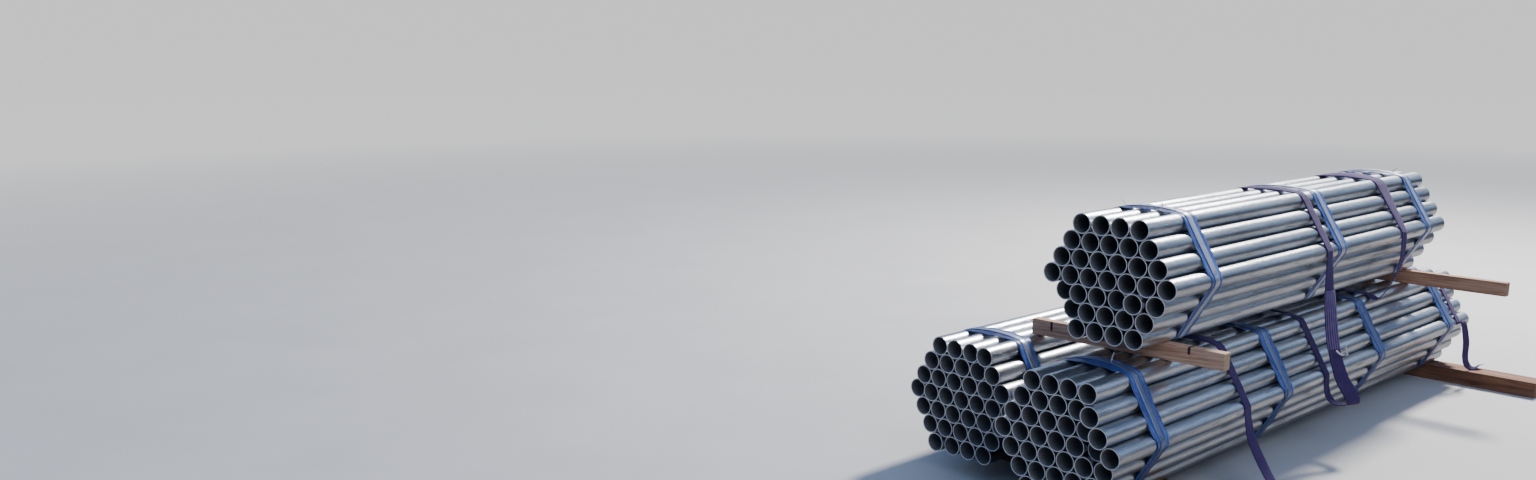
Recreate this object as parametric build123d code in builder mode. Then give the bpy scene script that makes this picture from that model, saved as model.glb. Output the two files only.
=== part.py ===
from math import cos, pi, sqrt
import os

from build123d import *

# Tubes, in millimetres; each bundle is a hexagon of tubes with a flat side down
tube_od = 76.1
tube_wall = 3.6
tube_flats = 12
side_count = 4
upper_length = 2430.0
lower_length = 3200.0
upper_pitch = 78.7
lower_pitch = 77.0

# Clearances between pieces that touch
contact_gap = 0.3
wrap_gap = 0.3

# Timbers that lie across the tubes, between the tiers and on the floor
spacer_width = 42.0
spacer_height = 64.0
near_spacer_length = 800.0
far_spacer_length = 1000.0
bearer_width = 120.0
bearer_height = 75.0
near_bearer_length = 1200.0
far_bearer_length = 1800.0
timber_arris = 2.0
near_spacer_turn = 2.2

# Steel straps over plastic sleeves, and webbing slings
sleeve_width = 88.0
sleeve_thickness = 1.2
strap_width = 32.0
strap_thickness = 1.0
upper_sling_width = 60.0
lower_sling_width = 50.0
sling_thickness = 3.0
sling_bend = 60.0

# Places across the stack, along X
upper_shift = -14.0
near_spacer_right = 623.0
far_spacer_right = 840.0

# Places along the tubes, along Y; the near end of the stack is at the low end
left_set_along = 142.0
upper_near_end = -1383.0
near_spacer_place = -1181.0
far_spacer_place = 1017.0
near_bearer_place = -1191.0
far_bearer_place = 1444.0
upper_strap_places = (-1107.0, -68.0, 857.0)
right_strap_places = (-1424.0, -473.0, 436.0, 1255.0)
left_strap_places = (-1329.0, -378.0, 531.0, 1301.0)
upper_middle_sling_place = -190.0
upper_far_sling_place = 567.0
right_near_sling_place = -815.0
right_middle_sling_place = -133.0
right_far_sling_place = 1354.0

# Tubes whose near ends stand out of line, by row and place in the row: how far back each one sits
upper_set_back = {(2, 0): 30.0, (1, 0): 25.0, (2, 3): 7.0, (2, 4): -19.0}
right_set_back = {(5, 4): -43.0, (4, 5): -43.0, (3, 5): 20.0, (3, 6): -25.0}
left_set_back = {(6, 3): -12.0, (5, 4): -10.0, (3, 0): 8.0, (0, 0): -12.0}

tube_radius = tube_od / 2
contact_pitch = tube_od + contact_gap
row_count = 2 * side_count - 1
middle_row = side_count - 1
flat_bore_radius = tube_radius - tube_wall / cos(pi / tube_flats)


def row_rise(pitch):
    return sqrt(contact_pitch**2 - (pitch / 2) ** 2)


def row_tubes(row):
    return row_count - abs(row - middle_row)


def bundle_height(pitch):
    return (row_count - 1) * row_rise(pitch) + tube_od


def tube_place(pitch, centre, row, column):
    across = (column - (row_tubes(row) - 1) / 2) * pitch
    return (centre[0] + across, centre[1] + (row - middle_row) * row_rise(pitch))


def band_corners(pitch, centre, reach):
    half_base = middle_row * pitch / 2
    half_height = middle_row * row_rise(pitch)
    slant = sqrt(half_base**2 + half_height**2)
    side = middle_row * pitch + reach
    cheek = reach * (slant - half_height) / half_base
    shoulder = half_base + reach * (slant - half_base) / half_height
    top = half_height + reach
    right = [(shoulder, top), (side, cheek), (side, -cheek), (shoulder, -top)]
    left = [(-x, z) for x, z in reversed(right)]
    return [(centre[0] + x, centre[1] + z) for x, z in right + left]


# Heights of the tiers and the middles of the bundles across the stack
lower_middle = bearer_height + contact_gap + bundle_height(lower_pitch) / 2
spacer_base = bearer_height + 2 * contact_gap + bundle_height(lower_pitch)
upper_middle = spacer_base + spacer_height + contact_gap + bundle_height(upper_pitch) / 2
wrap_reach = 2 * wrap_gap + sleeve_thickness + strap_thickness
lower_half_spacing = middle_row * lower_pitch + tube_radius + wrap_reach + contact_gap / 2
right_centre = (lower_half_spacing, lower_middle)
left_centre = (-lower_half_spacing, lower_middle)
upper_centre = (right_centre[0] + upper_shift, upper_middle)
right_near_end = -(lower_length + left_set_along) / 2
left_near_end = right_near_end + left_set_along


# The top row of each bundle has round bores; the other tubes have flat sides and touch at their corners
def tube_bundle(pitch, centre, near_end, length, set_back):
    spots = [(row, column) for row in range(row_count) for column in range(row_tubes(row))]
    with BuildPart() as bundle:
        for back in sorted({set_back.get(spot, 0) for spot in spots}):
            level = [spot for spot in spots if set_back.get(spot, 0) == back]
            round_places = [tube_place(pitch, centre, *spot) for spot in level if spot[0] == row_count - 1]
            flat_places = [tube_place(pitch, centre, *spot) for spot in level if spot[0] < row_count - 1]
            with BuildSketch(Plane.XZ.offset(-near_end - back)):
                with Locations(*round_places, *flat_places):
                    RegularPolygon(tube_radius, tube_flats)
                if round_places:
                    with Locations(*round_places):
                        Circle(tube_radius - tube_wall, mode=Mode.SUBTRACT)
                if flat_places:
                    with Locations(*flat_places):
                        RegularPolygon(flat_bore_radius, tube_flats, mode=Mode.SUBTRACT)
            extrude(amount=-length)
    return bundle


def bands(pitch, centre, places, width, clearance, thickness, route=()):
    inner_reach = tube_radius + clearance
    with BuildPart() as rings:
        for place in places:
            with BuildSketch(Plane.XZ.offset(-place)):
                with BuildLine():
                    Polyline(*band_corners(pitch, centre, inner_reach + thickness), close=True)
                make_face()
                with BuildLine():
                    Polyline(*band_corners(pitch, centre, inner_reach), close=True)
                make_face(mode=Mode.SUBTRACT)
                if route:
                    with BuildLine():
                        FilletPolyline(*route, radius=sling_bend)
                    trace(line_width=thickness)
            extrude(amount=width / 2, both=True)
    return rings


def sleeves(pitch, centre, places):
    return bands(pitch, centre, places, sleeve_width, wrap_gap, sleeve_thickness)


def straps(pitch, centre, places):
    clearance = 2 * wrap_gap + sleeve_thickness
    return bands(pitch, centre, places, strap_width, clearance, strap_thickness)


def upper_sling(place, route=()):
    return bands(upper_pitch, upper_centre, (place,), upper_sling_width, wrap_gap, sling_thickness, route)


def right_sling(place, route=()):
    return bands(lower_pitch, right_centre, (place,), lower_sling_width, wrap_gap, sling_thickness, route)


def timber(place, right_end, length, width, base, height, turn=0):
    with BuildPart() as beam:
        with Locations(Location((right_end - length / 2, place, base + height / 2), (0, 0, turn))):
            Box(length, width, height)
        chamfer(beam.edges(), timber_arris)
    return beam


# Free ends of the slings: points across the stack and up, from the widest tube down
flank = tube_radius + wrap_gap + sling_thickness / 2
upper_flank = upper_centre[0] + middle_row * upper_pitch + flank
right_flank = right_centre[0] + middle_row * lower_pitch + flank
upper_middle_route = (
    (upper_flank, upper_middle),
    (upper_flank, upper_middle - 150),
    (right_flank + 30, lower_middle + 190),
    (right_flank + 110, lower_middle - 60),
)
right_near_route = (
    (right_flank, lower_middle),
    (right_flank + 25, lower_middle - 130),
    (right_flank + 80, sling_thickness / 2),
    (right_flank + 300, sling_thickness / 2),
)
right_far_route = (
    (right_flank, lower_middle),
    (right_flank + 20, lower_middle - 130),
    (right_flank + 80, sling_thickness / 2),
    (right_flank + 220, sling_thickness / 2),
)

sub_parts = {
    "upper_tubes": tube_bundle(upper_pitch, upper_centre, upper_near_end, upper_length, upper_set_back),
    "right_tubes": tube_bundle(lower_pitch, right_centre, right_near_end, lower_length, right_set_back),
    "left_tubes": tube_bundle(lower_pitch, left_centre, left_near_end, lower_length, left_set_back),
    "upper_sleeves": sleeves(upper_pitch, upper_centre, upper_strap_places),
    "right_sleeves": sleeves(lower_pitch, right_centre, right_strap_places),
    "left_sleeves": sleeves(lower_pitch, left_centre, left_strap_places),
    "upper_straps": straps(upper_pitch, upper_centre, upper_strap_places),
    "right_straps": straps(lower_pitch, right_centre, right_strap_places),
    "left_straps": straps(lower_pitch, left_centre, left_strap_places),
    "upper_middle_sling": upper_sling(upper_middle_sling_place, upper_middle_route),
    "upper_far_sling": upper_sling(upper_far_sling_place),
    "right_near_sling": right_sling(right_near_sling_place, right_near_route),
    "right_middle_sling": right_sling(right_middle_sling_place),
    "right_far_sling": right_sling(right_far_sling_place, right_far_route),
    "near_spacer": timber(
        near_spacer_place,
        near_spacer_right,
        near_spacer_length,
        spacer_width,
        spacer_base,
        spacer_height,
        near_spacer_turn,
    ),
    "far_spacer": timber(
        far_spacer_place, far_spacer_right, far_spacer_length, spacer_width, spacer_base, spacer_height
    ),
    "near_bearer": timber(
        near_bearer_place, near_bearer_length / 2, near_bearer_length, bearer_width, 0, bearer_height
    ),
    "far_bearer": timber(
        far_bearer_place, far_bearer_length / 2, far_bearer_length, bearer_width, 0, bearer_height
    ),
}

os.makedirs("parts", exist_ok=True)
for name, sub_part in sub_parts.items():
    sub_part.part.label = name
    export_step(sub_part.part, f"parts/{name}.step")
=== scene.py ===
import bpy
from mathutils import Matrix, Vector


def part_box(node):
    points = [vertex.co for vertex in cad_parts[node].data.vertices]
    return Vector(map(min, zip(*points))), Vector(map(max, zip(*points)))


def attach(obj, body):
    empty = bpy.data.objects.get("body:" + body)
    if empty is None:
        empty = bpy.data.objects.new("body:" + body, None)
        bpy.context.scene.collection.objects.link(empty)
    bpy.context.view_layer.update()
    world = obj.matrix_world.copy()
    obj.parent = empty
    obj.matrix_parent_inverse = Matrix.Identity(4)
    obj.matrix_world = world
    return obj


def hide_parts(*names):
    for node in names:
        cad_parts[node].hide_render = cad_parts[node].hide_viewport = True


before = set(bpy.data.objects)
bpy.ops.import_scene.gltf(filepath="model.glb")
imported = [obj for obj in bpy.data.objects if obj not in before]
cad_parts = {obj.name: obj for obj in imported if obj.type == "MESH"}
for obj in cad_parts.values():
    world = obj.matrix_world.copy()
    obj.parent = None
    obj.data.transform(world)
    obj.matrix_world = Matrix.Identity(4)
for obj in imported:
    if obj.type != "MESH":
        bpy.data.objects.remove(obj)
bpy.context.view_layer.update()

import math
import random

import bmesh
import bpy
from mathutils import Matrix, Vector, noise

scene = bpy.context.scene
uvName = "UVMap"
tiny = 1e-6  # metres; closer points count as one


# Meshes and materials shared by all pieces
def addObject(name, bm, materials, nodes):
    mesh = bpy.data.meshes.new(name)
    bm.to_mesh(mesh)
    bm.free()
    piece = bpy.data.objects.new(name, mesh)
    scene.collection.objects.link(piece)
    for material in materials:
        mesh.materials.append(material)
    if nodes:
        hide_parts(*nodes)
    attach(piece, "root")
    return piece


def newMaterial(name, **sockets):
    material = bpy.data.materials.new(name)
    material.use_nodes = True
    shader = material.node_tree.nodes["Principled BSDF"]
    for socket, value in sockets.items():
        shader.inputs[socket.replace("_", " ")].default_value = value
    return material, shader


def addNode(material, kind, **settings):
    node = material.node_tree.nodes.new(kind)
    for key, value in settings.items():
        if hasattr(node, key):
            setattr(node, key, value)
        else:
            node.inputs[key.replace("_", " ")].default_value = value
    return node


def link(material, output, target):
    material.node_tree.links.new(output, target)


def scaled(material, vector, scale):
    mapping = addNode(material, "ShaderNodeMapping", Scale=scale)
    link(material, vector, mapping.inputs["Vector"])
    return mapping.outputs["Vector"]


def objectPlace(material, scale=(1, 1, 1)):
    coordinates = addNode(material, "ShaderNodeTexCoord")
    return scaled(material, coordinates.outputs["Object"], scale)


def uvPlace(material, scale=(1, 1, 1)):
    uvMap = addNode(material, "ShaderNodeUVMap", uv_map=uvName)
    return scaled(material, uvMap.outputs["UV"], scale)


def axisOf(material, vector, axis):
    parts = addNode(material, "ShaderNodeSeparateXYZ")
    link(material, vector, parts.inputs["Vector"])
    return parts.outputs[axis]


def noiseField(material, vector, detail=4, roughness=0.55, distortion=0.0, scale=1.0):
    field = addNode(material, "ShaderNodeTexNoise", Scale=scale, Detail=detail,
                    Roughness=roughness, Distortion=distortion)
    link(material, vector, field.inputs["Vector"])
    return field.outputs["Fac"]


def waveField(material, vector, kind, axis, scale, **settings):
    field = addNode(material, "ShaderNodeTexWave", wave_type=kind, bands_direction=axis,
                    rings_direction=axis, Scale=scale, **settings)
    link(material, vector, field.inputs["Vector"])
    return field.outputs["Fac"]


def ramp(material, factor, stops):
    node = addNode(material, "ShaderNodeValToRGB")
    while len(node.color_ramp.elements) < len(stops):
        node.color_ramp.elements.new(0.5)
    for element, (position, colour) in zip(node.color_ramp.elements, stops):
        element.position = position
        element.color = (*colour, 1)
    link(material, factor, node.inputs["Fac"])
    return node.outputs["Color"]


def greyRamp(material, factor, stops):
    return ramp(material, factor, [(position, (value,) * 3) for position, value in stops])


def mixColour(material, factor, first, second, blend="MIX"):
    node = addNode(material, "ShaderNodeMix", data_type="RGBA", blend_type=blend)
    for value, target in ((factor, 0), (first, 6), (second, 7)):
        if hasattr(value, "links"):
            link(material, value, node.inputs[target])
        else:
            node.inputs[target].default_value = value if target == 0 else (*value, 1)
    return node.outputs[2]


def compute(material, operation, *values):
    node = addNode(material, "ShaderNodeMath", operation=operation)
    for index, value in enumerate(values):
        if hasattr(value, "links"):
            link(material, value, node.inputs[index])
        else:
            node.inputs[index].default_value = value
    return node.outputs[0]


def addBump(material, shader, height, strength, distance, chain=None):
    node = addNode(material, "ShaderNodeBump", Strength=strength, Distance=distance)
    link(material, height, node.inputs["Height"])
    if chain:
        link(material, chain, node.inputs["Normal"])
    link(material, node.outputs["Normal"], shader.inputs["Normal"])
    return node.outputs["Normal"]


def mottledFinish(name, finish, **sockets):
    material, shader = newMaterial(name, **sockets)
    place = objectPlace(material, finish["size"])
    mottle = noiseField(material, place, detail=finish["detail"])
    link(material, ramp(material, mottle, finish["tones"]), shader.inputs["Base Color"])
    addBump(material, shader, mottle, *finish["bump"])
    return material


def tonesBetween(lows, highs, share):
    return [tuple(low + (high - low) * share for low, high in zip(*pair))
            for pair in zip(lows, highs)]


# Galvanised tubes: three bundles, each a hexagon of rows
tube = {
    "od": 0.0761, "wall": 0.0036, "edge": 0.0005, "sides": 44, "rows": 7,
    "unevenEnd": 0.0015, "seed": 4, "toneLayer": "tubeTone",
}
bundles = {
    "upper": {
        "node": "upper_tubes", "nearEnd": -1.383, "length": 2.43,
        "setBack": {(2, 0): 0.030, (1, 0): 0.025, (2, 3): 0.007, (2, 4): -0.019},
    },
    "right": {
        "node": "right_tubes", "nearEnd": -1.671, "length": 3.2,
        "setBack": {(5, 4): -0.043, (4, 5): -0.043, (3, 5): 0.020, (3, 6): -0.025},
    },
    "left": {
        "node": "left_tubes", "nearEnd": -1.529, "length": 3.2,
        "setBack": {(6, 3): -0.012, (5, 4): -0.010, (3, 0): 0.008, (0, 0): -0.012},
    },
}

# Finishes of the tubes; a size is how many times a pattern repeats per metre along X, Y and Z
zinc = {
    "shift": 37.0,  # each tube takes its pattern from another place
    "streaks": {"size": (60, 1.6, 60), "tones": [
        (0.30, (0.34, 0.36, 0.39)), (0.5, (0.55, 0.57, 0.60)), (0.70, (0.80, 0.82, 0.84))]},
    "clouds": {"size": (7, 2.2, 7), "share": 0.35, "bump": (0.5, 0.0035), "tones": [
        (0.38, (0.50, 0.52, 0.55)), (0.62, (0.90, 0.91, 0.93))]},
    "spangle": {"size": (1, 0.7, 1), "cells": 70.0, "dim": [(0.0, 0.90), (1.0, 1.0)]},
    "scuffs": {"size": (90, 5, 90), "amount": [(0.55, 0.0), (0.66, 0.65)],
               "tone": (0.28, 0.25, 0.22), "bump": (0.3, 0.0006)},
    "drips": {"size": (75, 34, 75), "bump": (0.7, 0.0017)},
    "eachTube": [(0.0, 0.84), (1.0, 1.0)],
    "gloss": (0.26, 0.195), "scuffGloss": 0.35,
}
bore = {"size": (30, 4, 30), "detail": 5, "bump": (0.3, 0.0006),
        "tones": [(0.3, (0.19, 0.185, 0.185)), (0.7, (0.28, 0.275, 0.27))]}
rim = {"size": (300, 300, 300), "detail": 3, "bump": (0.2, 0.0003),
       "tones": [(0.3, (0.82, 0.80, 0.79)), (0.7, (0.97, 0.95, 0.94))]}


def rowTubes(row):
    return tube["rows"] - abs(row - tube["rows"] // 2)


def tubePlace(bundle, row, column):
    low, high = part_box(bundle["node"])
    pitch = (high.x - low.x - tube["od"]) / (tube["rows"] - 1)
    rise = (high.z - low.z - tube["od"]) / (tube["rows"] - 1)
    x = (low.x + high.x) / 2 + (column - (rowTubes(row) - 1) / 2) * pitch
    return Vector((x, 0, low.z + tube["od"] / 2 + row * rise))


def oneTube(length):
    outer = tube["od"] / 2
    inner = outer - tube["wall"]
    edge = tube["edge"]
    profile = [
        (outer, edge), (outer, length - edge), (outer - edge, length), (inner + edge, length),
        (inner, length - edge), (inner, edge), (inner + edge, 0), (outer - edge, 0),
    ]
    bm = bmesh.new()
    verts = [bm.verts.new((radius, y, 0)) for radius, y in profile]
    edges = [bm.edges.new((verts[i - 1], verts[i])) for i in range(len(verts))]
    bmesh.ops.spin(bm, geom=verts + edges, cent=(0, 0, 0), axis=(0, 1, 0), angle=2 * math.pi,
                   steps=tube["sides"], use_merge=True)
    bmesh.ops.recalc_face_normals(bm, faces=bm.faces)
    for face in bm.faces:
        middle = face.calc_center_median()
        atEnd = middle.y < edge or middle.y > length - edge
        outside = math.hypot(middle.x, middle.z) > (outer + inner) / 2
        face.material_index = 2 if atEnd else (0 if outside else 1)
        face.smooth = not atEnd
    for ringEdge in bm.edges:
        if abs(ringEdge.verts[0].co.y - ringEdge.verts[1].co.y) < tiny:
            ringEdge.smooth = False  # keeps the long shading straight
    mesh = bpy.data.meshes.new("oneTube")
    bm.to_mesh(mesh)
    bm.free()
    return mesh


def zincOutside():
    material, shader = newMaterial("galvanisedZinc", Metallic=1.0)
    tone = addNode(material, "ShaderNodeAttribute", attribute_name=tube["toneLayer"])
    shift = addNode(material, "ShaderNodeVectorMath", operation="SCALE", Scale=zinc["shift"])
    link(material, tone.outputs["Vector"], shift.inputs[0])
    shifted = addNode(material, "ShaderNodeVectorMath", operation="ADD")
    link(material, objectPlace(material), shifted.inputs[0])
    link(material, shift.outputs[0], shifted.inputs[1])

    def placeFor(layer):
        return scaled(material, shifted.outputs[0], zinc[layer]["size"])

    streaks = noiseField(material, placeFor("streaks"), detail=6, roughness=0.6)
    clouds = noiseField(material, placeFor("clouds"), detail=5)
    scuffs = noiseField(material, placeFor("scuffs"), detail=8, roughness=0.7, distortion=0.3)
    drips = noiseField(material, placeFor("drips"), detail=4, roughness=0.6)
    spangle = addNode(material, "ShaderNodeTexVoronoi", Scale=zinc["spangle"]["cells"])
    link(material, placeFor("spangle"), spangle.inputs["Vector"])

    base = ramp(material, streaks, zinc["streaks"]["tones"])
    cloudTone = ramp(material, clouds, zinc["clouds"]["tones"])
    base = mixColour(material, zinc["clouds"]["share"], base, cloudTone)
    grains = greyRamp(material, spangle.outputs["Color"], zinc["spangle"]["dim"])
    base = mixColour(material, 1.0, base, grains, "MULTIPLY")
    marks = greyRamp(material, scuffs, zinc["scuffs"]["amount"])
    base = mixColour(material, marks, base, zinc["scuffs"]["tone"])
    eachTube = greyRamp(material, tone.outputs["Fac"], zinc["eachTube"])
    base = mixColour(material, 1.0, base, eachTube, "MULTIPLY")
    link(material, base, shader.inputs["Base Color"])

    gloss = compute(material, "MULTIPLY_ADD", streaks, *zinc["gloss"])
    gloss = compute(material, "MULTIPLY_ADD", marks, zinc["scuffGloss"], gloss)
    link(material, gloss, shader.inputs["Roughness"])
    ripple = addBump(material, shader, clouds, *zinc["clouds"]["bump"])
    uneven = addBump(material, shader, drips, *zinc["drips"]["bump"], ripple)
    addBump(material, shader, scuffs, *zinc["scuffs"]["bump"], uneven)
    return material


def buildTubes():
    materials = [
        zincOutside(),
        mottledFinish("dullBore", bore, Metallic=0.20, Roughness=0.80),
        mottledFinish("cutRim", rim, Metallic=0.35, Roughness=0.50),
    ]
    picker = random.Random(tube["seed"])
    for name, bundle in bundles.items():
        single = oneTube(bundle["length"])
        bm = bmesh.new()
        toneLayer = bm.verts.layers.float.new(tube["toneLayer"])
        for row in range(tube["rows"]):
            for column in range(rowTubes(row)):
                start = bundle["nearEnd"] + bundle["setBack"].get((row, column), 0)
                start += picker.uniform(-1, 1) * tube["unevenEnd"]
                tone = picker.random()
                before = len(bm.verts)
                bm.from_mesh(single)
                bm.verts.ensure_lookup_table()
                made = bm.verts[before:]
                place = tubePlace(bundle, row, column) + Vector((0, start, 0))
                bmesh.ops.translate(bm, vec=place, verts=made)
                for vert in made:
                    vert[toneLayer] = tone
        addObject(name + "Tubes", bm, materials, [bundle["node"]])
        bpy.data.meshes.remove(single)
    print("tubes done")


# The way round a bundle: its six sides are numbered from the lower left one, and side 2 is the top
wrap = {
    "cornerSteps": 7, "gapSteps": 12, "gaps": 3, "topSide": 2, "underSides": (4, 5, 0),
    "slackShape": 0.7, "seedsPerBundle": 5,
}


def measure(way):
    travelled = 0.0
    for i, stop in enumerate(way):
        if i:
            travelled += (stop["at"] - way[i - 1]["at"]).length
        stop["along"] = travelled


def wayRound(bundle, reach):
    last = tube["rows"] - 1
    middle = last // 2
    ring = [(0, 0), (middle, 0), (last, 0), (last, rowTubes(last) - 1), (middle, last),
            (0, rowTubes(0) - 1)]
    corners = [tubePlace(bundle, row, column) for row, column in ring]
    way = []
    for i, corner in enumerate(corners):
        before = corner - corners[i - 1]
        after = corners[(i + 1) % len(corners)] - corner
        startOut = Vector((-before.z, 0, before.x)).normalized()
        endOut = Vector((-after.z, 0, after.x)).normalized()
        for step in range(wrap["cornerSteps"]):
            out = startOut.lerp(endOut, step / wrap["cornerSteps"]).normalized()
            way.append({"at": corner + out * reach, "out": out, "side": i, "share": 0.0,
                        "gap": 0.0, "bend": 1.0})
        steps = wrap["gapSteps"] * wrap["gaps"]
        for step in range(steps):
            gap = math.sin(math.pi * (step % wrap["gapSteps"]) / wrap["gapSteps"]) ** 2
            at = corner + endOut * reach + after * (step / steps)
            way.append({"at": at, "out": endOut, "side": i, "share": step / steps,
                        "gap": gap, "bend": 0.0})
    way.append(dict(way[0]))
    measure(way)
    return way


# How far a band stands off the tubes: only on top, and most in the middle
def slackAt(stop, slack):
    if stop["side"] != wrap["topSide"]:
        return 0.0
    return slack * math.sin(math.pi * stop["share"]) ** wrap["slackShape"]


# Noise that changes only along a band, and apart from other bands by the spread of their seeds
def noiseAlong(stop, seed, field, shift=0):
    row = seed * field["spread"] + shift
    return noise.noise(Vector((stop["along"] * field["size"], row, field["layer"])))


# Noise that changes across the band too
def noiseOver(stop, share, seed, field):
    across = share * field["across"]
    return noise.noise(Vector((stop["along"] * field["size"], across, seed * field["spread"])))


# A smooth way through knots, each with its place, width, turn in degrees and droop
def wayThrough(knots, steps, closed=False):
    def curve(a, b, c, d, share):
        return 0.5 * ((2 * b) + (c - a) * share + (2 * a - 5 * b + 4 * c - d) * share ** 2
                      + (3 * b - a - 3 * c + d) * share ** 3)

    points = [Vector(knot["at"]) for knot in knots]
    if closed:
        points = [points[-1], *points, points[0], points[1]]
        knots = [*knots, knots[0]]
    else:
        points = [points[0] * 2 - points[1], *points, points[-1] * 2 - points[-2]]
    way = []
    for i in range(len(knots) - 1):
        for step in range(steps if i < len(knots) - 2 else steps + 1):
            share = step / steps
            stop = {"at": curve(*points[i:i + 4], share)}
            for key in ("width", "turn", "droop"):
                stop[key] = knots[i][key] + (knots[i + 1][key] - knots[i][key]) * share
            way.append(stop)
    for i, stop in enumerate(way):
        before = way[i - 1] if i else (way[-2] if closed else stop)
        after = way[i + 1] if i < len(way) - 1 else (way[1] if closed else stop)
        stop["run"] = (after["at"] - before["at"]).normalized()
    measure(way)
    return way


# A flat strip along a way, bent by its shape function; its UVs are metres along and across
def addStrip(bm, way, place, width, columns, shape, closed=False):
    uvLayer = bm.loops.layers.uv.get(uvName) or bm.loops.layers.uv.new(uvName)
    grid = bmesh.ops.create_grid(bm, x_segments=len(way) - 1, y_segments=columns, size=0.5)
    cut = {}
    for vert in grid["verts"]:
        stop = way[round((vert.co.x + 0.5) * (len(way) - 1))]
        share = vert.co.y * 2
        cut[vert] = (stop["along"], share * width / 2)
        vert.co = shape(stop, share, place)
    faces = {face for vert in grid["verts"] for face in vert.link_faces}
    for face in faces:
        face.smooth = True
        for loop in face.loops:
            loop[uvLayer].uv = cut[loop.vert]
    if closed:
        bmesh.ops.remove_doubles(bm, verts=grid["verts"], dist=tiny)
    return [face for face in faces if face.is_valid]


def turnOutwards(bm, faces, centre):
    outward = sum((face.calc_center_median() - centre).dot(face.normal) * face.calc_area()
                  for face in faces)
    if outward < 0:
        bmesh.ops.reverse_faces(bm, faces=faces)


def thicken(piece, thickness, offset):
    wall = piece.modifiers.new("thickness", "SOLIDIFY")
    wall.thickness = thickness
    wall.offset = offset
    wall.use_even_offset = False


# One closed band for each place on a bundle, all in one piece
def addBands(name, bundle, one, makeShape, material):
    bm = bmesh.new()
    low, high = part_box(bundle["node"])
    way = wayRound(bundle, tube["od"] / 2 + one["reach"])
    for i, band in enumerate(bandPlaces[name]):
        shape = makeShape(i + wrap["seedsPerBundle"] * list(bundles).index(name), band["slack"])
        faces = addStrip(bm, way, band["place"], one["width"], one["columns"], shape, True)
        centre = Vector(((low.x + high.x) / 2, band["place"], (low.z + high.z) / 2))
        turnOutwards(bm, faces, centre)
    node = name + one["nodeEnding"]
    piece = addObject(name + one["nameEnding"], bm, [material], [node])
    thicken(piece, one["thickness"], 1.0)


# Places of the bands along each bundle, and how slack each one is on top
bandPlaces = {
    "upper": [{"place": -1.107, "slack": 0.012}, {"place": -0.068, "slack": 0.008},
              {"place": 0.857, "slack": 0.014}],
    "right": [{"place": -1.424, "slack": 0.017}, {"place": -0.473, "slack": 0.006},
              {"place": 0.436, "slack": 0.006}, {"place": 1.255, "slack": 0.006}],
    "left": [{"place": -1.329, "slack": 0.011}, {"place": -0.378, "slack": 0.006},
             {"place": 0.531, "slack": 0.006}, {"place": 1.301, "slack": 0.006}],
}

# Crinkled blue sleeves under the straps; their loose edges begin at edgeFrom of the half width
sleeve = {
    "nameEnding": "Sleeves", "nodeEnding": "_sleeves",
    "width": 0.092, "thickness": 0.0005, "reach": 0.0004, "columns": 18, "edgeFrom": 0.38,
    "crinkle": 0.0022, "flatCrinkle": 0.3, "crinkles": {"size": 16, "across": 4.5, "spread": 9.7},
    "curl": 0.004, "wander": 0.0015, "waves": {"size": 13, "spread": 3.3, "layer": 1.7},
    "otherEdge": 5,  # keeps the waves of the two edges apart
    "sag": 0.0035, "evenSag": 0.4, "tucks": {"size": 6, "spread": 1, "layer": 3.1},
    "droop": 0.85, "droopFrom": 0.25, "droopShape": 1.5, "edgeDrop": 0.25,
    "narrowAtBend": 0.05, "narrowAtTuck": 0.07, "narrowUnder": 0.08,
}
film = {
    "foldSize": (11, 150, 1), "crumpleSize": (95, 110, 1), "folds": 0.70, "crumples": 0.30,
    # the crinkle tones are the film's own blue plus painted shade in the fold hollows and painted
    # highlight on the ridges
    "tones": [(0.34, (0.012, 0.028, 0.14)), (0.47, (0.036, 0.078, 0.33)),
              (0.55, (0.075, 0.145, 0.47)), (0.66, (0.23, 0.38, 0.72))],
    "dust": [(0.52, 0.0), (0.75, 0.30)], "dustTone": (0.30, 0.40, 0.56), "dustSize": (9, 9, 9),
    # painted shade for the hanging near edge on top: where along the band the top lies, how near
    # the edge is, and the dark tone painted there
    "top": [(0.56, 0.0), (0.60, 1.0), (0.76, 1.0), (0.82, 0.0)],  # metres along the band
    "nearEdge": [(0.05, 0.0), (0.20, 0.8)], "nearEdgeScale": -10.0,
    "hangingEdgeShadeTone": (0.028, 0.032, 0.12), "bump": (0.9, 0.0045),
}


def sleeveShape(seed, slack):
    def shape(stop, share, place):
        edge = max(0.0, abs(share) - sleeve["edgeFrom"]) / (1 - sleeve["edgeFrom"])
        fine = noiseOver(stop, share, seed, sleeve["crinkles"])
        wave = noiseAlong(stop, seed, sleeve["waves"], sleeve["otherEdge"] if share > 0 else 0)
        tuck = 0.5 + 0.5 * noiseAlong(stop, seed, sleeve["tucks"])
        out = sleeve["crinkle"] * (sleeve["flatCrinkle"] + edge) * max(0.0, fine)
        out += sleeve["curl"] * edge ** 2 * max(0.0, wave)
        if stop["gap"] > 0:
            deep = sleeve["evenSag"] + (1 - sleeve["evenSag"]) * tuck
            out -= sleeve["sag"] * stop["gap"] * edge * deep
        # the near edge hangs down where the band stands off
        beyond = max(0.0, -share - sleeve["droopFrom"])
        droop = sleeve["droop"] * beyond ** sleeve["droopShape"]
        out += slackAt(stop, slack) * (1 - droop - sleeve["edgeDrop"] * edge * tuck)
        narrow = 1 - sleeve["narrowAtBend"] * stop["bend"] - sleeve["narrowAtTuck"] * tuck
        narrow -= sleeve["narrowUnder"] * (stop["side"] in wrap["underSides"])
        at = stop["at"] + stop["out"] * out
        y = place + share * narrow * sleeve["width"] / 2 + sleeve["wander"] * wave
        return Vector((at.x, y, at.z))
    return shape


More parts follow.
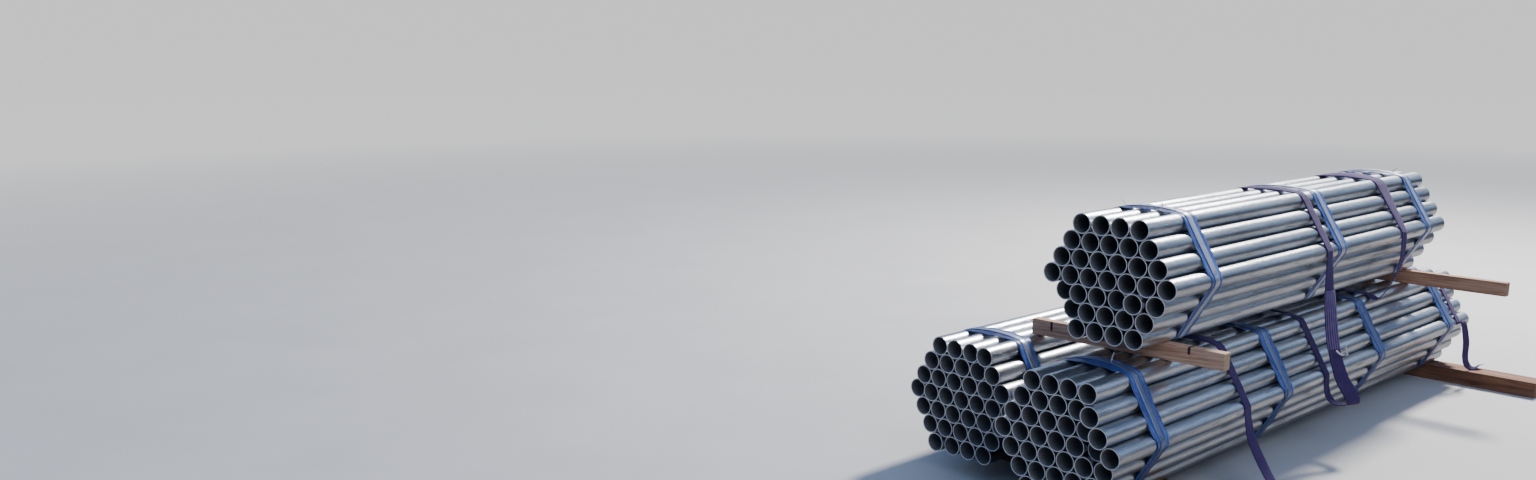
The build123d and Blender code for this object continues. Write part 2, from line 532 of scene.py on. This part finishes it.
def blueFilm():
    material, shader = newMaterial("blueSleeveFilm", Roughness=0.32, Coat_Weight=0.25,
                                   Coat_Roughness=0.2)
    folds = noiseField(material, uvPlace(material, film["foldSize"]), detail=5, roughness=0.6,
                       distortion=0.8)
    crumples = noiseField(material, uvPlace(material, film["crumpleSize"]), distortion=1.5)
    crinkles = compute(material, "MULTIPLY_ADD", crumples, film["crumples"],
                       compute(material, "MULTIPLY", folds, film["folds"]))
    # painted shade and highlight: the same crinkle height that drives the bump darkens the hollows
    # and lightens the ridges
    base = ramp(material, crinkles, film["tones"])
    patches = noiseField(material, objectPlace(material, film["dustSize"]))
    dusty = greyRamp(material, patches, film["dust"])
    base = mixColour(material, dusty, base, film["dustTone"])
    # painted shade: the hanging near edge of the film on top is darkened to stand in for the shade
    # it hangs in
    onTop = greyRamp(material, axisOf(material, uvPlace(material), "X"), film["top"])
    nearer = compute(material, "MULTIPLY", axisOf(material, uvPlace(material), "Y"),
                     film["nearEdgeScale"])
    hangingEdgeShade = compute(material, "MULTIPLY", onTop, greyRamp(material, nearer, film["nearEdge"]))
    base = mixColour(material, hangingEdgeShade, base, film["hangingEdgeShadeTone"])
    link(material, base, shader.inputs["Base Color"])
    addBump(material, shader, crinkles, *film["bump"])
    return material


def buildSleeves():
    blue = blueFilm()
    for name, bundle in bundles.items():
        addBands(name, bundle, sleeve, sleeveShape, blue)
    print("sleeves done")


# Steel straps along the middle of the sleeves, with painted light: paler on the sunlit upper
# bundle, darker on the shaded lower bundles
strap = {
    "nameEnding": "Straps", "nodeEnding": "_straps",
    "width": 0.031, "thickness": 0.0009, "reach": 0.0021, "columns": 4,
    "lean": 0.003, "leans": {"size": 3, "spread": 2.7, "layer": 0.4},
    "buckle": 0.0006, "buckles": {"size": 14, "spread": 1, "layer": 1.9},
    "paintedSunlight": {"upper": 0.8, "right": 0.0, "left": 0.35},
    "shadedTones": [(0.16, 0.19, 0.31), (0.31, 0.34, 0.47), (0.09, 0.12, 0.27)],
    "sunlitTones": [(0.46, 0.48, 0.56), (0.70, 0.72, 0.78), (0.20, 0.24, 0.40)],
    "scratchSize": (4, 500, 1), "stainSize": (26, 26, 26), "stains": [(0.54, 0.0), (0.68, 0.60)],
    "bump": (0.15, 0.0003),
}


def strapShape(seed, slack):
    def shape(stop, share, place):
        buckled = noiseAlong(stop, seed, strap["buckles"])
        out = strap["buckle"] * max(0.0, buckled) + slackAt(stop, slack)
        at = stop["at"] + stop["out"] * out
        lean = strap["lean"] * noiseAlong(stop, seed, strap["leans"])
        y = place + share * strap["width"] / 2 + lean
        return Vector((at.x, y, at.z))
    return shape


def strapSteel(name, paintedSunlight):
    material, shader = newMaterial(name + "StrapSteel", Metallic=0.70, Roughness=0.38)
    scratched = uvPlace(material, strap["scratchSize"])
    scratches = noiseField(material, scratched, detail=6, roughness=0.6)
    stains = noiseField(material, objectPlace(material, strap["stainSize"]), detail=6)
    # painted light: each bundle's strap tones are set between the shaded and the sunlit tones by
    # how much sun that bundle gets
    dark, pale, stainTone = tonesBetween(strap["shadedTones"], strap["sunlitTones"], paintedSunlight)
    base = ramp(material, scratches, [(0.3, dark), (0.7, pale)])
    base = mixColour(material, greyRamp(material, stains, strap["stains"]), base, stainTone)
    link(material, base, shader.inputs["Base Color"])
    addBump(material, shader, scratches, *strap["bump"])
    return material


def buildStraps():
    for name, bundle in bundles.items():
        steel = strapSteel(name, strap["paintedSunlight"][name])
        addBands(name, bundle, strap, strapShape, steel)
    print("straps done")


# Violet webbing slings, draped loosely, as knots of place, width and turn in degrees: two are
# closed loops, one ends on the floor and one on the far bearer
ribbon = {
    "thickness": 0.0024, "cup": 0.0006, "columns": 8, "reach": 0.0016, "steps": 6, "skip": 4,
    "over": (0, 1, 2, 3), "back": (2, 3), "lastBend": 4, "nearEdgeDroop": 0.8,
    "ripple": 0.0008, "ripples": {"size": 18, "across": 1.5, "spread": 3.7},
}
slings = {
    "upperMiddle": {
        "nodes": ("upper_middle_sling", "right_middle_sling"), "bundle": "upper", "seed": 0,
        "place": -0.190, "width": 0.054, "topWidth": 0.052, "slack": 0.010,
        "hanging": [
            ((0.536, -0.190, 0.800), 0.054, 0), ((0.5435, -0.1888, 0.693), 0.0495, 18),
            ((0.553, -0.188, 0.620), 0.048, 30), ((0.568, -0.187, 0.520), 0.048, 38),
            ((0.5815, -0.185, 0.451), 0.0497, 39), ((0.618, -0.172, 0.335), 0.056, 42),
            ((0.655, -0.158, 0.270), 0.060, 46), ((0.663, -0.148, 0.232), 0.052, 36),
            ((0.618, -0.140, 0.214), 0.046, 16), ((0.570, -0.136, 0.222), 0.046, 4),
            ((0.5465, -0.133, 0.262), 0.048, 0),
        ],
        "lower": {"place": -0.133, "width": 0.048, "topWidth": 0.048, "slack": 0.010,
                  "leaves": 0.24},
        "crossing": [
            ((0.215, -0.148, 0.5502), 0.048, 0), ((0.165, -0.165, 0.558), 0.050, 0),
            ((0.132, -0.180, 0.590), 0.052, 0),
        ],
    },
    "upperFar": {
        "nodes": ("upper_far_sling",), "bundle": "upper", "seed": 1,
        "place": 0.567, "width": 0.056, "topWidth": 0.098, "slack": 0.016,
        "hanging": [
            ((0.5355, 0.567, 0.800), 0.054, 0), ((0.533, 0.568, 0.735), 0.050, 0),
            ((0.520, 0.566, 0.670), 0.046, -8), ((0.497, 0.558, 0.610), 0.044, -14),
            ((0.474, 0.548, 0.562), 0.044, -16), ((0.448, 0.552, 0.541), 0.046, -8),
            ((0.418, 0.572, 0.5455), 0.048, 0), ((0.380, 0.584, 0.5525), 0.050, 0),
        ],
        "crossing": [
            ((0.310, 0.590, 0.5510), 0.050, 0), ((0.230, 0.584, 0.5508), 0.050, 0),
            ((0.165, 0.576, 0.558), 0.052, 0), ((0.132, 0.570, 0.590), 0.054, 0),
        ],
    },
    "rightNear": {
        "nodes": ("right_near_sling",), "bundle": "right", "seed": 2,
        "place": -0.815, "width": 0.048, "topWidth": 0.048, "slack": 0.014,
        "hanging": [
            ((0.5455, -0.815, 0.285), 0.048, 0), ((0.556, -0.815, 0.235), 0.045, 10),
            ((0.574, -0.816, 0.188), 0.042, 22), ((0.616, -0.818, 0.118), 0.042, 28),
            ((0.662, -0.822, 0.056), 0.044, 18), ((0.708, -0.828, 0.018), 0.046, 6),
            ((0.770, -0.836, 0.0060), 0.048, 0), ((0.842, -0.848, 0.0060), 0.048, 0),
        ],
    },
    "rightFar": {
        "nodes": ("right_far_sling",), "bundle": "right", "seed": 4,
        "place": 1.354, "width": 0.042, "topWidth": 0.044, "slack": 0.008,
        "hanging": [
            ((0.562, 1.356, 0.330), 0.040, 14), ((0.576, 1.358, 0.280), 0.038, 24),
            ((0.586, 1.360, 0.220), 0.036, 30), ((0.584, 1.370, 0.155), 0.036, 26),
            ((0.588, 1.395, 0.108), 0.036, 16), ((0.603, 1.440, 0.088), 0.036, 6),
            ((0.622, 1.496, 0.094), 0.036, 0),
        ],
    },
}
webbing = {
    "ribs": {"scale": 95.0, "Distortion": 0.6}, "picks": {"scale": 130.0, "Distortion": 0.4},
    "tones": [(0.0, (0.024, 0.010, 0.068)), (0.8, (0.115, 0.052, 0.235))],
    "dust": [(0.55, 0.0), (0.80, 0.20)], "dustTone": (0.18, 0.115, 0.27),
    "dustSize": (22, 22, 22), "bump": (0.6, 0.0010),
}


def asKnots(rows):
    return [{"at": at, "width": width, "turn": turn, "droop": 0.0} for at, width, turn in rows]


def ribbonShape(seed, cup):
    def shape(stop, share, place):
        turn = math.radians(stop["turn"])
        cross = Vector((math.sin(turn), math.cos(turn), 0))
        cross = (cross - stop["run"] * cross.dot(stop["run"])).normalized()
        out = stop["run"].cross(cross)
        ripple = noiseOver(stop, share, seed, ribbon["ripples"])
        lift = cup * (1 - share ** 2) + ribbon["ripple"] * ripple
        lift -= stop["droop"] * max(0.0, -share) ** 2
        at = stop["at"] + Vector((0, place, 0))
        return at + cross * (share * stop["width"] / 2) + out * lift
    return shape


# Knots along a bundle's sides, ending half way round the bend of its widest tube
def overBundle(bundle, one, sides):
    way = wayRound(bundle, tube["od"] / 2 + ribbon["reach"])[:-1]
    picked = [stop for stop in way if stop["side"] in sides][::ribbon["skip"]]
    bend = [stop for stop in way if stop["side"] == ribbon["lastBend"] and stop["bend"]]
    picked += [stop for stop in bend if stop["out"].z > 0][1::2]
    knots = []
    for stop in picked:
        top = wrap["topSide"]
        upper = {top: 1.0, top + 1: 1 - stop["share"]}.get(stop["side"], 0.0)
        width = one["width"] + (one["topWidth"] - one["width"]) * upper
        lift = slackAt(stop, one["slack"])
        at = stop["at"] + stop["out"] * lift + Vector((0, one["place"], 0))
        knots.append({"at": at, "width": width, "turn": 0, "droop": ribbon["nearEdgeDroop"] * lift})
    return knots


def slingKnots(one):
    knots = overBundle(bundles[one["bundle"]], one, ribbon["over"]) + asKnots(one["hanging"])
    if "lower" in one:
        back = overBundle(bundles["right"], one["lower"], ribbon["back"])[::-1]
        knots += [knot for knot in back if knot["at"].x > one["lower"]["leaves"]]
    return knots + asKnots(one.get("crossing", []))


def violetWebbing():
    material, shader = newMaterial("violetWebbing", Roughness=0.85, Sheen_Weight=0.08,
                                   Sheen_Roughness=0.5)
    ribs = waveField(material, uvPlace(material), "BANDS", "Y", **webbing["ribs"])
    picks = waveField(material, uvPlace(material), "BANDS", "X", **webbing["picks"])
    weave = compute(material, "MULTIPLY", ribs, picks)
    base = ramp(material, weave, webbing["tones"])
    dirt = noiseField(material, objectPlace(material, webbing["dustSize"]), detail=6)
    dust = greyRamp(material, dirt, webbing["dust"])
    base = mixColour(material, dust, base, webbing["dustTone"])
    link(material, base, shader.inputs["Base Color"])
    addBump(material, shader, weave, *webbing["bump"])
    return material


def buildSlings():
    violet = violetWebbing()
    for name, one in slings.items():
        closed = "crossing" in one
        way = wayThrough(slingKnots(one), ribbon["steps"], closed)
        shape = ribbonShape(one["seed"], ribbon["cup"])
        bm = bmesh.new()
        addStrip(bm, way, 0, one["width"], ribbon["columns"], shape, closed)
        piece = addObject(name + "Sling", bm, [violet], one["nodes"])
        thicken(piece, ribbon["thickness"], 0.0)
    print("slings done")


# The stitched keeper lies over these knots of the upper middle sling's hanging leg
keeper = {
    "knots": (1, 5), "width": 0.052, "lift": 0.0022, "thickness": 0.0024, "steps": 8,
    "columns": 10, "seed": 9, "seams": {"scale": 34.0, "Distortion": 0.5},
    "threads": {"scale": 150.0},
    "tones": [(0.18, (0.024, 0.010, 0.065)), (0.42, (0.110, 0.060, 0.22)),
              (0.85, (0.19, 0.12, 0.31))],
    "dust": [(0.45, 0.0), (0.75, 0.4)], "dustTone": (0.23, 0.17, 0.29),
    "dustSize": (30, 30, 30), "seamBump": (0.8, 0.0016), "threadBump": (0.3, 0.0004),
}
# The torn blank tag at the keeper, and cut tie ends that stand up from the bands
trim = {
    "steps": 5, "columns": 2,
    "slingTag": {"width": 0.011, "thickness": 0.0006, "strips": [
        [((0.598, -0.201, 0.452), 0.007, 30), ((0.615, -0.189, 0.436), 0.008, 40),
         ((0.635, -0.167, 0.434), 0.004, 50)],
        [((0.634, -0.169, 0.435), 0.004, 40), ((0.626, -0.173, 0.452), 0.005, 60),
         ((0.623, -0.169, 0.478), 0.003, 70)],
    ]},
    "tieEnds": {"width": 0.0036, "thickness": 0.0011, "strips": [
        [((0.150, -1.107, 1.086), 0.0036, 20), ((0.143, -1.112, 1.098), 0.0036, 20),
         ((0.133, -1.120, 1.112), 0.0030, 20)],
        [((0.300, -1.107, 1.087), 0.0036, 60), ((0.296, -1.102, 1.097), 0.0036, 60),
         ((0.289, -1.096, 1.109), 0.0030, 60)],
        [((0.215, 0.857, 1.089), 0.0036, 10), ((0.209, 0.850, 1.098), 0.0036, 10),
         ((0.200, 0.842, 1.108), 0.0030, 10)],
        [((0.340, 0.857, 1.088), 0.0036, 50), ((0.349, 0.862, 1.100), 0.0036, 50),
         ((0.361, 0.868, 1.113), 0.0030, 50)],
        [((0.318, -1.424, 0.566), 0.0036, 30), ((0.324, -1.428, 0.582), 0.0036, 30),
         ((0.333, -1.432, 0.604), 0.0030, 30)],
    ]},
}
nylon = {"size": (60, 60, 60), "detail": 4, "bump": (0.2, 0.0004),
         "tones": [(0.35, (0.62, 0.60, 0.64)), (0.65, (0.84, 0.83, 0.86))]}


def stitchedWebbing():
    material, shader = newMaterial("stitchedKeeper", Roughness=0.8, Sheen_Weight=0.2,
                                   Sheen_Roughness=0.5)
    seams = waveField(material, uvPlace(material), "BANDS", "Y", **keeper["seams"])
    threads = waveField(material, uvPlace(material), "BANDS", "X", **keeper["threads"])
    base = ramp(material, seams, keeper["tones"])
    dirt = noiseField(material, objectPlace(material, keeper["dustSize"]), detail=6)
    dust = greyRamp(material, dirt, keeper["dust"])
    base = mixColour(material, dust, base, keeper["dustTone"])
    link(material, base, shader.inputs["Base Color"])
    grooves = addBump(material, shader, seams, *keeper["seamBump"])
    addBump(material, shader, threads, *keeper["threadBump"], grooves)
    return material


def buildKeeper():
    first, last = keeper["knots"]
    leg = slings["upperMiddle"]["hanging"][first:last]
    rows = [(at, keeper["width"], turn) for at, width, turn in leg]
    way = wayThrough(asKnots(rows), keeper["steps"])
    shape = ribbonShape(keeper["seed"], keeper["lift"])
    bm = bmesh.new()
    addStrip(bm, way, 0, keeper["width"], keeper["columns"], shape)
    piece = addObject("slingKeeper", bm, [stitchedWebbing()], None)
    thicken(piece, keeper["thickness"] + 2 * keeper["lift"], 0.0)
    print("keeper done")


def buildTrim():
    pale = mottledFinish("paleNylon", nylon, Roughness=0.45, Coat_Weight=0.15)
    for name in ("slingTag", "tieEnds"):
        one = trim[name]
        bm = bmesh.new()
        for i, strip in enumerate(one["strips"]):
            way = wayThrough(asKnots(strip), trim["steps"])
            addStrip(bm, way, 0, one["width"], trim["columns"], ribbonShape(i, 0.0))
        piece = addObject(name, bm, [pale], None)
        thicken(piece, one["thickness"], 0.0)
    print("tag and tie ends done")


# Timbers: two spacers between the tiers and two bearers on the floor; shade is how pale the
# wood is, and nails are the places of dark marks on the near face. On the two spacers shade also
# holds painted light: the near spacer, in shade, is made paler and the sunlit far spacer darker
timber = {
    # painted light: the near spacer's shade of 1.15 brightens it against the shade it stands in,
    # and the far spacer's 0.70 darkens it against its sunlight
    "nearSpacer": {"node": "near_spacer", "slot": "spacer_timber", "seed": 1, "shade": 1.15,
                   "length": 0.8, "width": 0.042, "turn": 2.2,
                   "nails": [{"x": -0.086, "z": 0.592, "tall": 0.036},
                             {"x": 0.488, "z": 0.600, "tall": 0.030}]},
    "farSpacer": {"node": "far_spacer", "slot": "spacer_timber", "seed": 2, "shade": 0.70,
                  "length": 1.0, "width": 0.042, "turn": 0.0, "nails": []},
    "nearBearer": {"node": "near_bearer", "slot": "bearer_timber", "seed": 3, "shade": 0.05,
                   "length": 1.2, "width": 0.120, "turn": 0.0, "nails": []},
    "farBearer": {"node": "far_bearer", "slot": "bearer_timber", "seed": 4, "shade": 0.12,
                  "length": 1.8, "width": 0.120, "turn": 0.0, "nails": []},
}
sawn = {"arris": 0.0025, "segments": 2, "cuts": 60, "rub": 0.0012, "rubSize": 14, "seedStep": 5,
        "sharpFrom": 1.0, "endFrom": 0.9}
wood = {
    "pale": [(0.38, 0.185, 0.105), (0.68, 0.39, 0.245), (0.84, 0.58, 0.41)],
    "dark": [(0.085, 0.030, 0.016), (0.190, 0.075, 0.038), (0.34, 0.17, 0.10)],
    "grainSize": (2.2, 42, 42), "grainStops": (0.28, 0.52, 0.76), "grainBump": (0.5, 0.0014),
    "ringWaves": {"scale": 16.0, "Distortion": 5.0, "Detail": 3.0, "Detail_Scale": 1.4},
    "ringSize": (0.35, 3.0, 3.0), "ringShare": 0.8, "rings": [(0.0, 0.72), (0.6, 1.0)],
    "knotSize": (3.3, 11, 11), "knots": [(0.05, 0.0), (0.13, 1.0)],
    "sawWaves": {"scale": 55.0, "Distortion": 1.2}, "sawBump": (0.15, 0.0006),
}
nailMark = {
    "wobble": -0.006, "wobbleSize": (20, 20, 90), "tone": (0.035, 0.024, 0.030),
    "acrossScale": 40.0, "across": [(0.02, 1.0), (0.16, 0.0)],
    "downScale": 20.0, "fadeFrom": 9, "fadeTo": 11,
}
endWood = {
    "pale": [(0.255, 0.175, 0.110), (0.65, 0.445, 0.265)],
    "dark": [(0.085, 0.045, 0.030), (0.19, 0.105, 0.065)],
    "ringWaves": {"scale": 48.0, "Distortion": 3.0, "Detail": 3.0},
    "ringSize": (0.2, 1, 1), "ringStops": (0.1, 0.7),
    "fibreSize": (30, 160, 160), "fibres": [(0.4, 0.0), (0.75, 0.45)], "bump": (0.5, 0.0010),
}


def dripMark(material, nail):
    place = objectPlace(material)
    wobble = noiseField(material, objectPlace(material, nailMark["wobbleSize"]), detail=3)
    aside = compute(material, "SUBTRACT", axisOf(material, place, "X"), nail["x"])
    aside = compute(material, "ABSOLUTE", aside)
    aside = compute(material, "MULTIPLY_ADD", wobble, nailMark["wobble"], aside)
    below = compute(material, "SUBTRACT", axisOf(material, place, "Z"), nail["z"])
    below = compute(material, "ABSOLUTE", below)
    across = greyRamp(material, compute(material, "MULTIPLY", aside, nailMark["acrossScale"]),
                      nailMark["across"])
    fade = [(nail["tall"] * nailMark["fadeFrom"], 1.0), (nail["tall"] * nailMark["fadeTo"], 0.0)]
    down = greyRamp(material, compute(material, "MULTIPLY", below, nailMark["downScale"]), fade)
    return compute(material, "MULTIPLY", across, down)


def sawnTimber(name, shade, nails):
    material, shader = newMaterial(name, Roughness=0.78)
    grain = noiseField(material, objectPlace(material, wood["grainSize"]), detail=8,
                       roughness=0.62, distortion=0.5)
    rings = waveField(material, objectPlace(material, wood["ringSize"]), "RINGS", "X",
                      **wood["ringWaves"])
    knots = addNode(material, "ShaderNodeTexVoronoi", Scale=1.0)
    link(material, objectPlace(material, wood["knotSize"]), knots.inputs["Vector"])
    saw = waveField(material, objectPlace(material), "BANDS", "X", **wood["sawWaves"])
    tones = tonesBetween(wood["dark"], wood["pale"], shade)
    base = ramp(material, grain, list(zip(wood["grainStops"], tones)))
    ringTone = greyRamp(material, rings, wood["rings"])
    base = mixColour(material, wood["ringShare"], base, ringTone, "MULTIPLY")
    knotTone = greyRamp(material, knots.outputs["Distance"], wood["knots"])
    base = mixColour(material, knotTone, tones[0], base)
    for nail in nails:
        base = mixColour(material, dripMark(material, nail), base, nailMark["tone"])
    link(material, base, shader.inputs["Base Color"])
    rough = addBump(material, shader, grain, *wood["grainBump"])
    addBump(material, shader, saw, *wood["sawBump"], rough)
    return material


def endGrain(name, shade):
    material, shader = newMaterial(name, Roughness=0.85)
    rings = waveField(material, objectPlace(material, endWood["ringSize"]), "RINGS", "X",
                      **endWood["ringWaves"])
    fibres = noiseField(material, objectPlace(material, endWood["fibreSize"]), detail=5)
    low, high = tonesBetween(endWood["dark"], endWood["pale"], shade)
    base = ramp(material, rings, list(zip(endWood["ringStops"], (low, high))))
    base = mixColour(material, greyRamp(material, fibres, endWood["fibres"]), base, low)
    link(material, base, shader.inputs["Base Color"])
    addBump(material, shader, fibres, *endWood["bump"])
    return material


def buildTimbers():
    for name, one in timber.items():
        low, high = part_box(one["node"])
        bm = bmesh.new()
        bmesh.ops.create_cube(bm, size=1)
        size = (one["length"], one["width"], high.z - low.z)
        bmesh.ops.scale(bm, vec=size, verts=bm.verts)
        lengthwise = [edge for edge in bm.edges
                      if abs(edge.verts[0].co.x - edge.verts[1].co.x) > 0.1]
        bmesh.ops.subdivide_edges(bm, edges=lengthwise, cuts=sawn["cuts"], use_grid_fill=True)
        sharp = [edge for edge in bm.edges if edge.calc_face_angle(0) > sawn["sharpFrom"]]
        bmesh.ops.bevel(bm, geom=sharp, offset=sawn["arris"], offset_type="OFFSET",
                        affect="EDGES", segments=sawn["segments"], profile=0.5, material=-1)
        seedShift = Vector((one["seed"] * sawn["seedStep"], 0, 0))
        for vert in bm.verts:
            wear = 0.5 + 0.5 * noise.noise(vert.co * sawn["rubSize"] + seedShift)
            vert.co.y -= math.copysign(sawn["rub"] * wear, vert.co.y)
        for face in bm.faces:
            face.material_index = 1 if abs(face.normal.x) > sawn["endFrom"] else 0
        turn = Matrix.Rotation(math.radians(one["turn"]), 3, "Z")
        bmesh.ops.rotate(bm, cent=(0, 0, 0), matrix=turn, verts=bm.verts)
        bmesh.ops.translate(bm, vec=(low + high) / 2, verts=bm.verts)
        materials = [sawnTimber(name + "Wood", one["shade"], one["nails"]),
                     endGrain(name + "EndGrain", one["shade"])]
        addObject(name, bm, materials, [one["node"]])
    print("timbers done")


# Camera at the photograph's place; dip and turn are in radians
view = {"place": (2.6074, -5.1151, 1.6719), "dip": 0.195, "turn": 0.842, "lens": 28.137,
        "shift": 0.02878, "reach": 200}


def buildCamera():
    camera = bpy.data.objects.new("camera", bpy.data.cameras.new("camera"))
    camera.location = view["place"]
    camera.rotation_euler = (math.pi / 2 - view["dip"], 0, view["turn"])
    camera.data.lens = view["lens"]
    camera.data.shift_y = view["shift"]
    camera.data.clip_end = view["reach"]
    scene.collection.objects.link(camera)
    scene.camera = camera
    print("camera done")


# A plain pale floor that rises far away, as radius and height; the far ramp is over distance
ground = {
    "profile": [(0, 0), (8, 0), (30, 0), (44, 0), (50, 0.5), (55, 1.8), (58, 4.0), (59, 7.0)],
    "steps": 96, "merge": 1e-4, "wornScale": 1.4,
    "tones": [(0.3, (0.58, 0.565, 0.545)), (0.7, (0.63, 0.615, 0.595))],
    "mirrored": (0.25, 0.24, 0.23),  # what the tubes see, so that their lower sides stay dark
    "farScale": 0.02, "far": [(0.07, 0.0), (0.16, 0.38), (0.36, 1.0)],
    "farTone": (0.05, 0.05, 0.05), "glow": (0.50, 0.495, 0.485), "glowPower": 1.8,
}


def paleFloor():
    material, shader = newMaterial("paleFloor", Roughness=0.85)
    worn = noiseField(material, objectPlace(material), detail=5, scale=ground["wornScale"])
    base = ramp(material, worn, ground["tones"])
    distance = addNode(material, "ShaderNodeVectorMath", operation="LENGTH")
    link(material, objectPlace(material, (ground["farScale"],) * 3), distance.inputs[0])
    far = greyRamp(material, distance.outputs["Value"], ground["far"])
    seen = addNode(material, "ShaderNodeLightPath").outputs["Is Camera Ray"]
    base = mixColour(material, seen, ground["mirrored"], base)
    base = mixColour(material, far, base, ground["farTone"])
    link(material, base, shader.inputs["Base Color"])
    shader.inputs["Emission Color"].default_value = (*ground["glow"], 1)
    glow = compute(material, "MULTIPLY", far, seen)
    glow = compute(material, "MULTIPLY", glow, ground["glowPower"])
    link(material, glow, shader.inputs["Emission Strength"])
    return material


def buildFloor():
    bm = bmesh.new()
    verts = [bm.verts.new((radius, 0, height)) for radius, height in ground["profile"]]
    edges = [bm.edges.new(pair) for pair in zip(verts, verts[1:])]
    bmesh.ops.spin(bm, geom=verts + edges, cent=(0, 0, 0), axis=(0, 0, 1), angle=2 * math.pi,
                   steps=ground["steps"], use_merge=True)
    bmesh.ops.remove_doubles(bm, verts=bm.verts, dist=ground["merge"])
    bmesh.ops.recalc_face_normals(bm, faces=bm.faces)
    for face in bm.faces:
        face.smooth = True
    mesh = bpy.data.meshes.new("floor")
    bm.to_mesh(mesh)
    bm.free()
    mesh.materials.append(paleFloor())
    floor = bpy.data.objects.new("floor", mesh)
    scene.collection.objects.link(floor)
    print("floor done")


# Soft light: the sky is banded by height, from 0 straight down to 1 straight up, and it has a
# shaded side; its narrow bright band draws the pale line along the shaded tubes
light = {
    "skyStrength": 0.60,
    "skyBands": [(0.30, (0.40, 0.37, 0.34)), (0.495, (0.55, 0.55, 0.56)),
                 (0.53, (0.60, 0.64, 0.70)), (0.62, (0.34, 0.58, 1.06)),
                 (0.680, (0.34, 0.58, 1.06)), (0.688, (4.2, 4.5, 4.8)), (0.698, (4.2, 4.5, 4.8)),
                 (0.706, (0.32, 0.56, 1.06)), (0.90, (0.30, 0.52, 1.05))],
    "shadeBands": [(0.30, (0.26, 0.23, 0.20)), (0.49, (0.22, 0.21, 0.21)),
                   (0.53, (0.08, 0.10, 0.15)), (0.60, (0.14, 0.22, 0.38)),
                   (0.70, (0.40, 0.58, 0.98)), (0.92, (0.30, 0.46, 0.90))],
    "shadeFrom": (0.75, -0.66, 0), "shadeEdge": [(0.35, 0.0), (0.65, 1.0)],
    "key": {"place": (-0.6, 6.6, 7.8), "size": 1.6, "power": 2300, "colour": (1.0, 0.97, 0.92)},
    "fill": {"place": (6.5, -3.5, 5.0), "size": 5.0, "power": 160, "colour": (0.86, 0.91, 1.0)},
}


def halfUp(world, value):
    return compute(world, "MULTIPLY_ADD", value, 0.5, 0.5)  # from -1 to 1 into 0 to 1


def buildSky():
    world = bpy.data.worlds.new("softSky")
    scene.world = world
    world.use_nodes = True
    background = world.node_tree.nodes["Background"]
    background.inputs["Strength"].default_value = light["skyStrength"]
    direction = addNode(world, "ShaderNodeTexCoord").outputs["Generated"]
    height = halfUp(world, axisOf(world, direction, "Z"))
    facing = addNode(world, "ShaderNodeVectorMath", operation="DOT_PRODUCT")
    link(world, direction, facing.inputs[0])
    facing.inputs[1].default_value = light["shadeFrom"]
    shaded = greyRamp(world, halfUp(world, facing.outputs["Value"]), light["shadeEdge"])
    colour = mixColour(world, shaded, ramp(world, height, light["skyBands"]),
                       ramp(world, height, light["shadeBands"]))
    link(world, colour, background.inputs["Color"])


def buildLight():
    buildSky()
    for name in ("key", "fill"):
        one = light[name]
        lamp = bpy.data.lights.new(name, "AREA")
        lamp.size = one["size"]
        lamp.energy = one["power"]
        lamp.color = one["colour"]
        lampObject = bpy.data.objects.new(name, lamp)
        lampObject.location = one["place"]
        aim = -Vector(one["place"])
        lampObject.rotation_euler = aim.to_track_quat("-Z", "Y").to_euler()
        scene.collection.objects.link(lampObject)
    print("light done")


buildCamera()
buildFloor()
buildLight()
buildTubes()
buildSleeves()
buildStraps()
buildSlings()
buildKeeper()
buildTrim()
buildTimbers()
